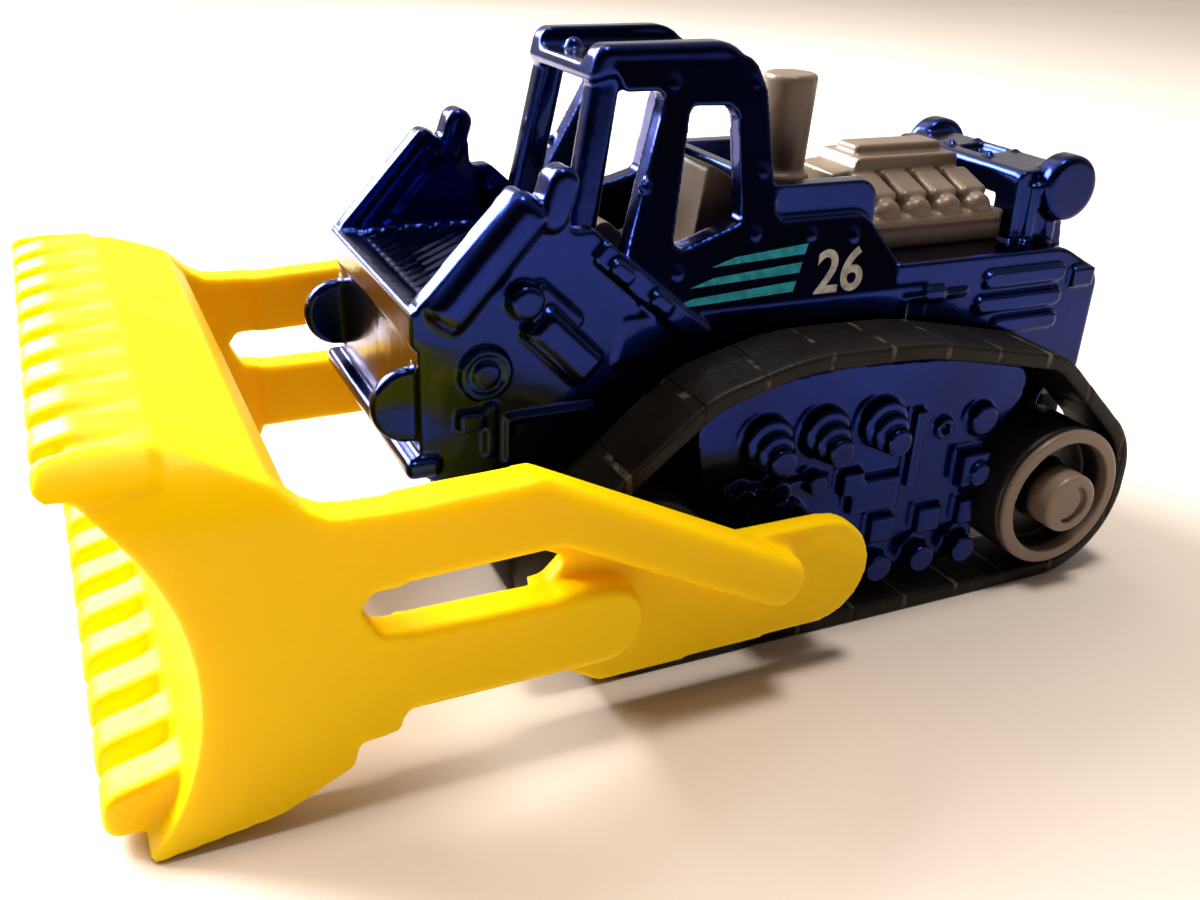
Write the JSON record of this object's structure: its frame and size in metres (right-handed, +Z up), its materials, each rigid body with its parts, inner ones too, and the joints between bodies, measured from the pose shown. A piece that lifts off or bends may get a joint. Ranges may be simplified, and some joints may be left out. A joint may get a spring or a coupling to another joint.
{
  "type": "toy bulldozer",
  "caption": "Pocket-size die-cast toy bulldozer on tracks: open cab over a hopper-like nose, visible engine, and a wide toothed blade on arms that lift.",
  "frame": {"origin": "centre of the bounding box on the surface the tracks stand on", "axes": "+Z up, -Y forward towards the blade, +X the toy's left side"},
  "size_m": [0.038, 0.0665, 0.0341],
  "materials": {
    "candy_blue": "translucent candy blue lacquer over bright metal, mirror gloss",
    "bare_metal": "bare zinc alloy, dull, flattened by the riveting tool",
    "black_plastic": "moulded, satin",
    "track_rubber": "soft moulded, satin, fine cross lines",
    "axle_steel": "drawn wire, bright",
    "grey_plastic": "warm grey moulding, satin",
    "yellow_plastic": "strong yellow, smooth, slightly translucent"
  },
  "bodies": {
    "chassis": {"body_casting": "candy_blue", "base_plate": "black_plastic", "base_rivet_heads": "bare_metal", "left_track_frame": "candy_blue", "right_track_frame": "candy_blue", "left_track_belt": "track_rubber", "right_track_belt": "track_rubber", "cab_interior": "grey_plastic", "engine_block": "grey_plastic", "exhaust_stack": "grey_plastic"},
    "front_wheels": {"front_axle": "axle_steel", "front_left_wheel": "black_plastic", "front_right_wheel": "black_plastic"},
    "rear_wheels": {"rear_axle": "axle_steel", "rear_left_wheel": "black_plastic", "rear_right_wheel": "black_plastic", "rear_left_hub": "grey_plastic", "rear_right_hub": "grey_plastic"},
    "blade_assembly": {"blade": "yellow_plastic", "left_blade_arm": "yellow_plastic", "right_blade_arm": "yellow_plastic"}
  },
  "joints": [
    {"name": "blade_lift", "type": "hinge", "parent": "chassis", "child": "blade_assembly", "pos_m": [0, 0.0063, 0.0066], "axis": [-1, 0, 0], "range_deg": [0, 40]},
    {"name": "front_axle_spin", "type": "hinge", "parent": "chassis", "child": "front_wheels", "pos_m": [0, -0.0034, 0.0062], "axis": [1, 0, 0], "continuous": true},
    {"name": "rear_axle_spin", "type": "hinge", "parent": "chassis", "child": "rear_wheels", "pos_m": [0, 0.0272, 0.0062], "axis": [1, 0, 0], "continuous": true}
  ],
  "couplings": [
    {"joint": "front_axle_spin", "follows": "rear_axle_spin", "ratio": 1}
  ]
}
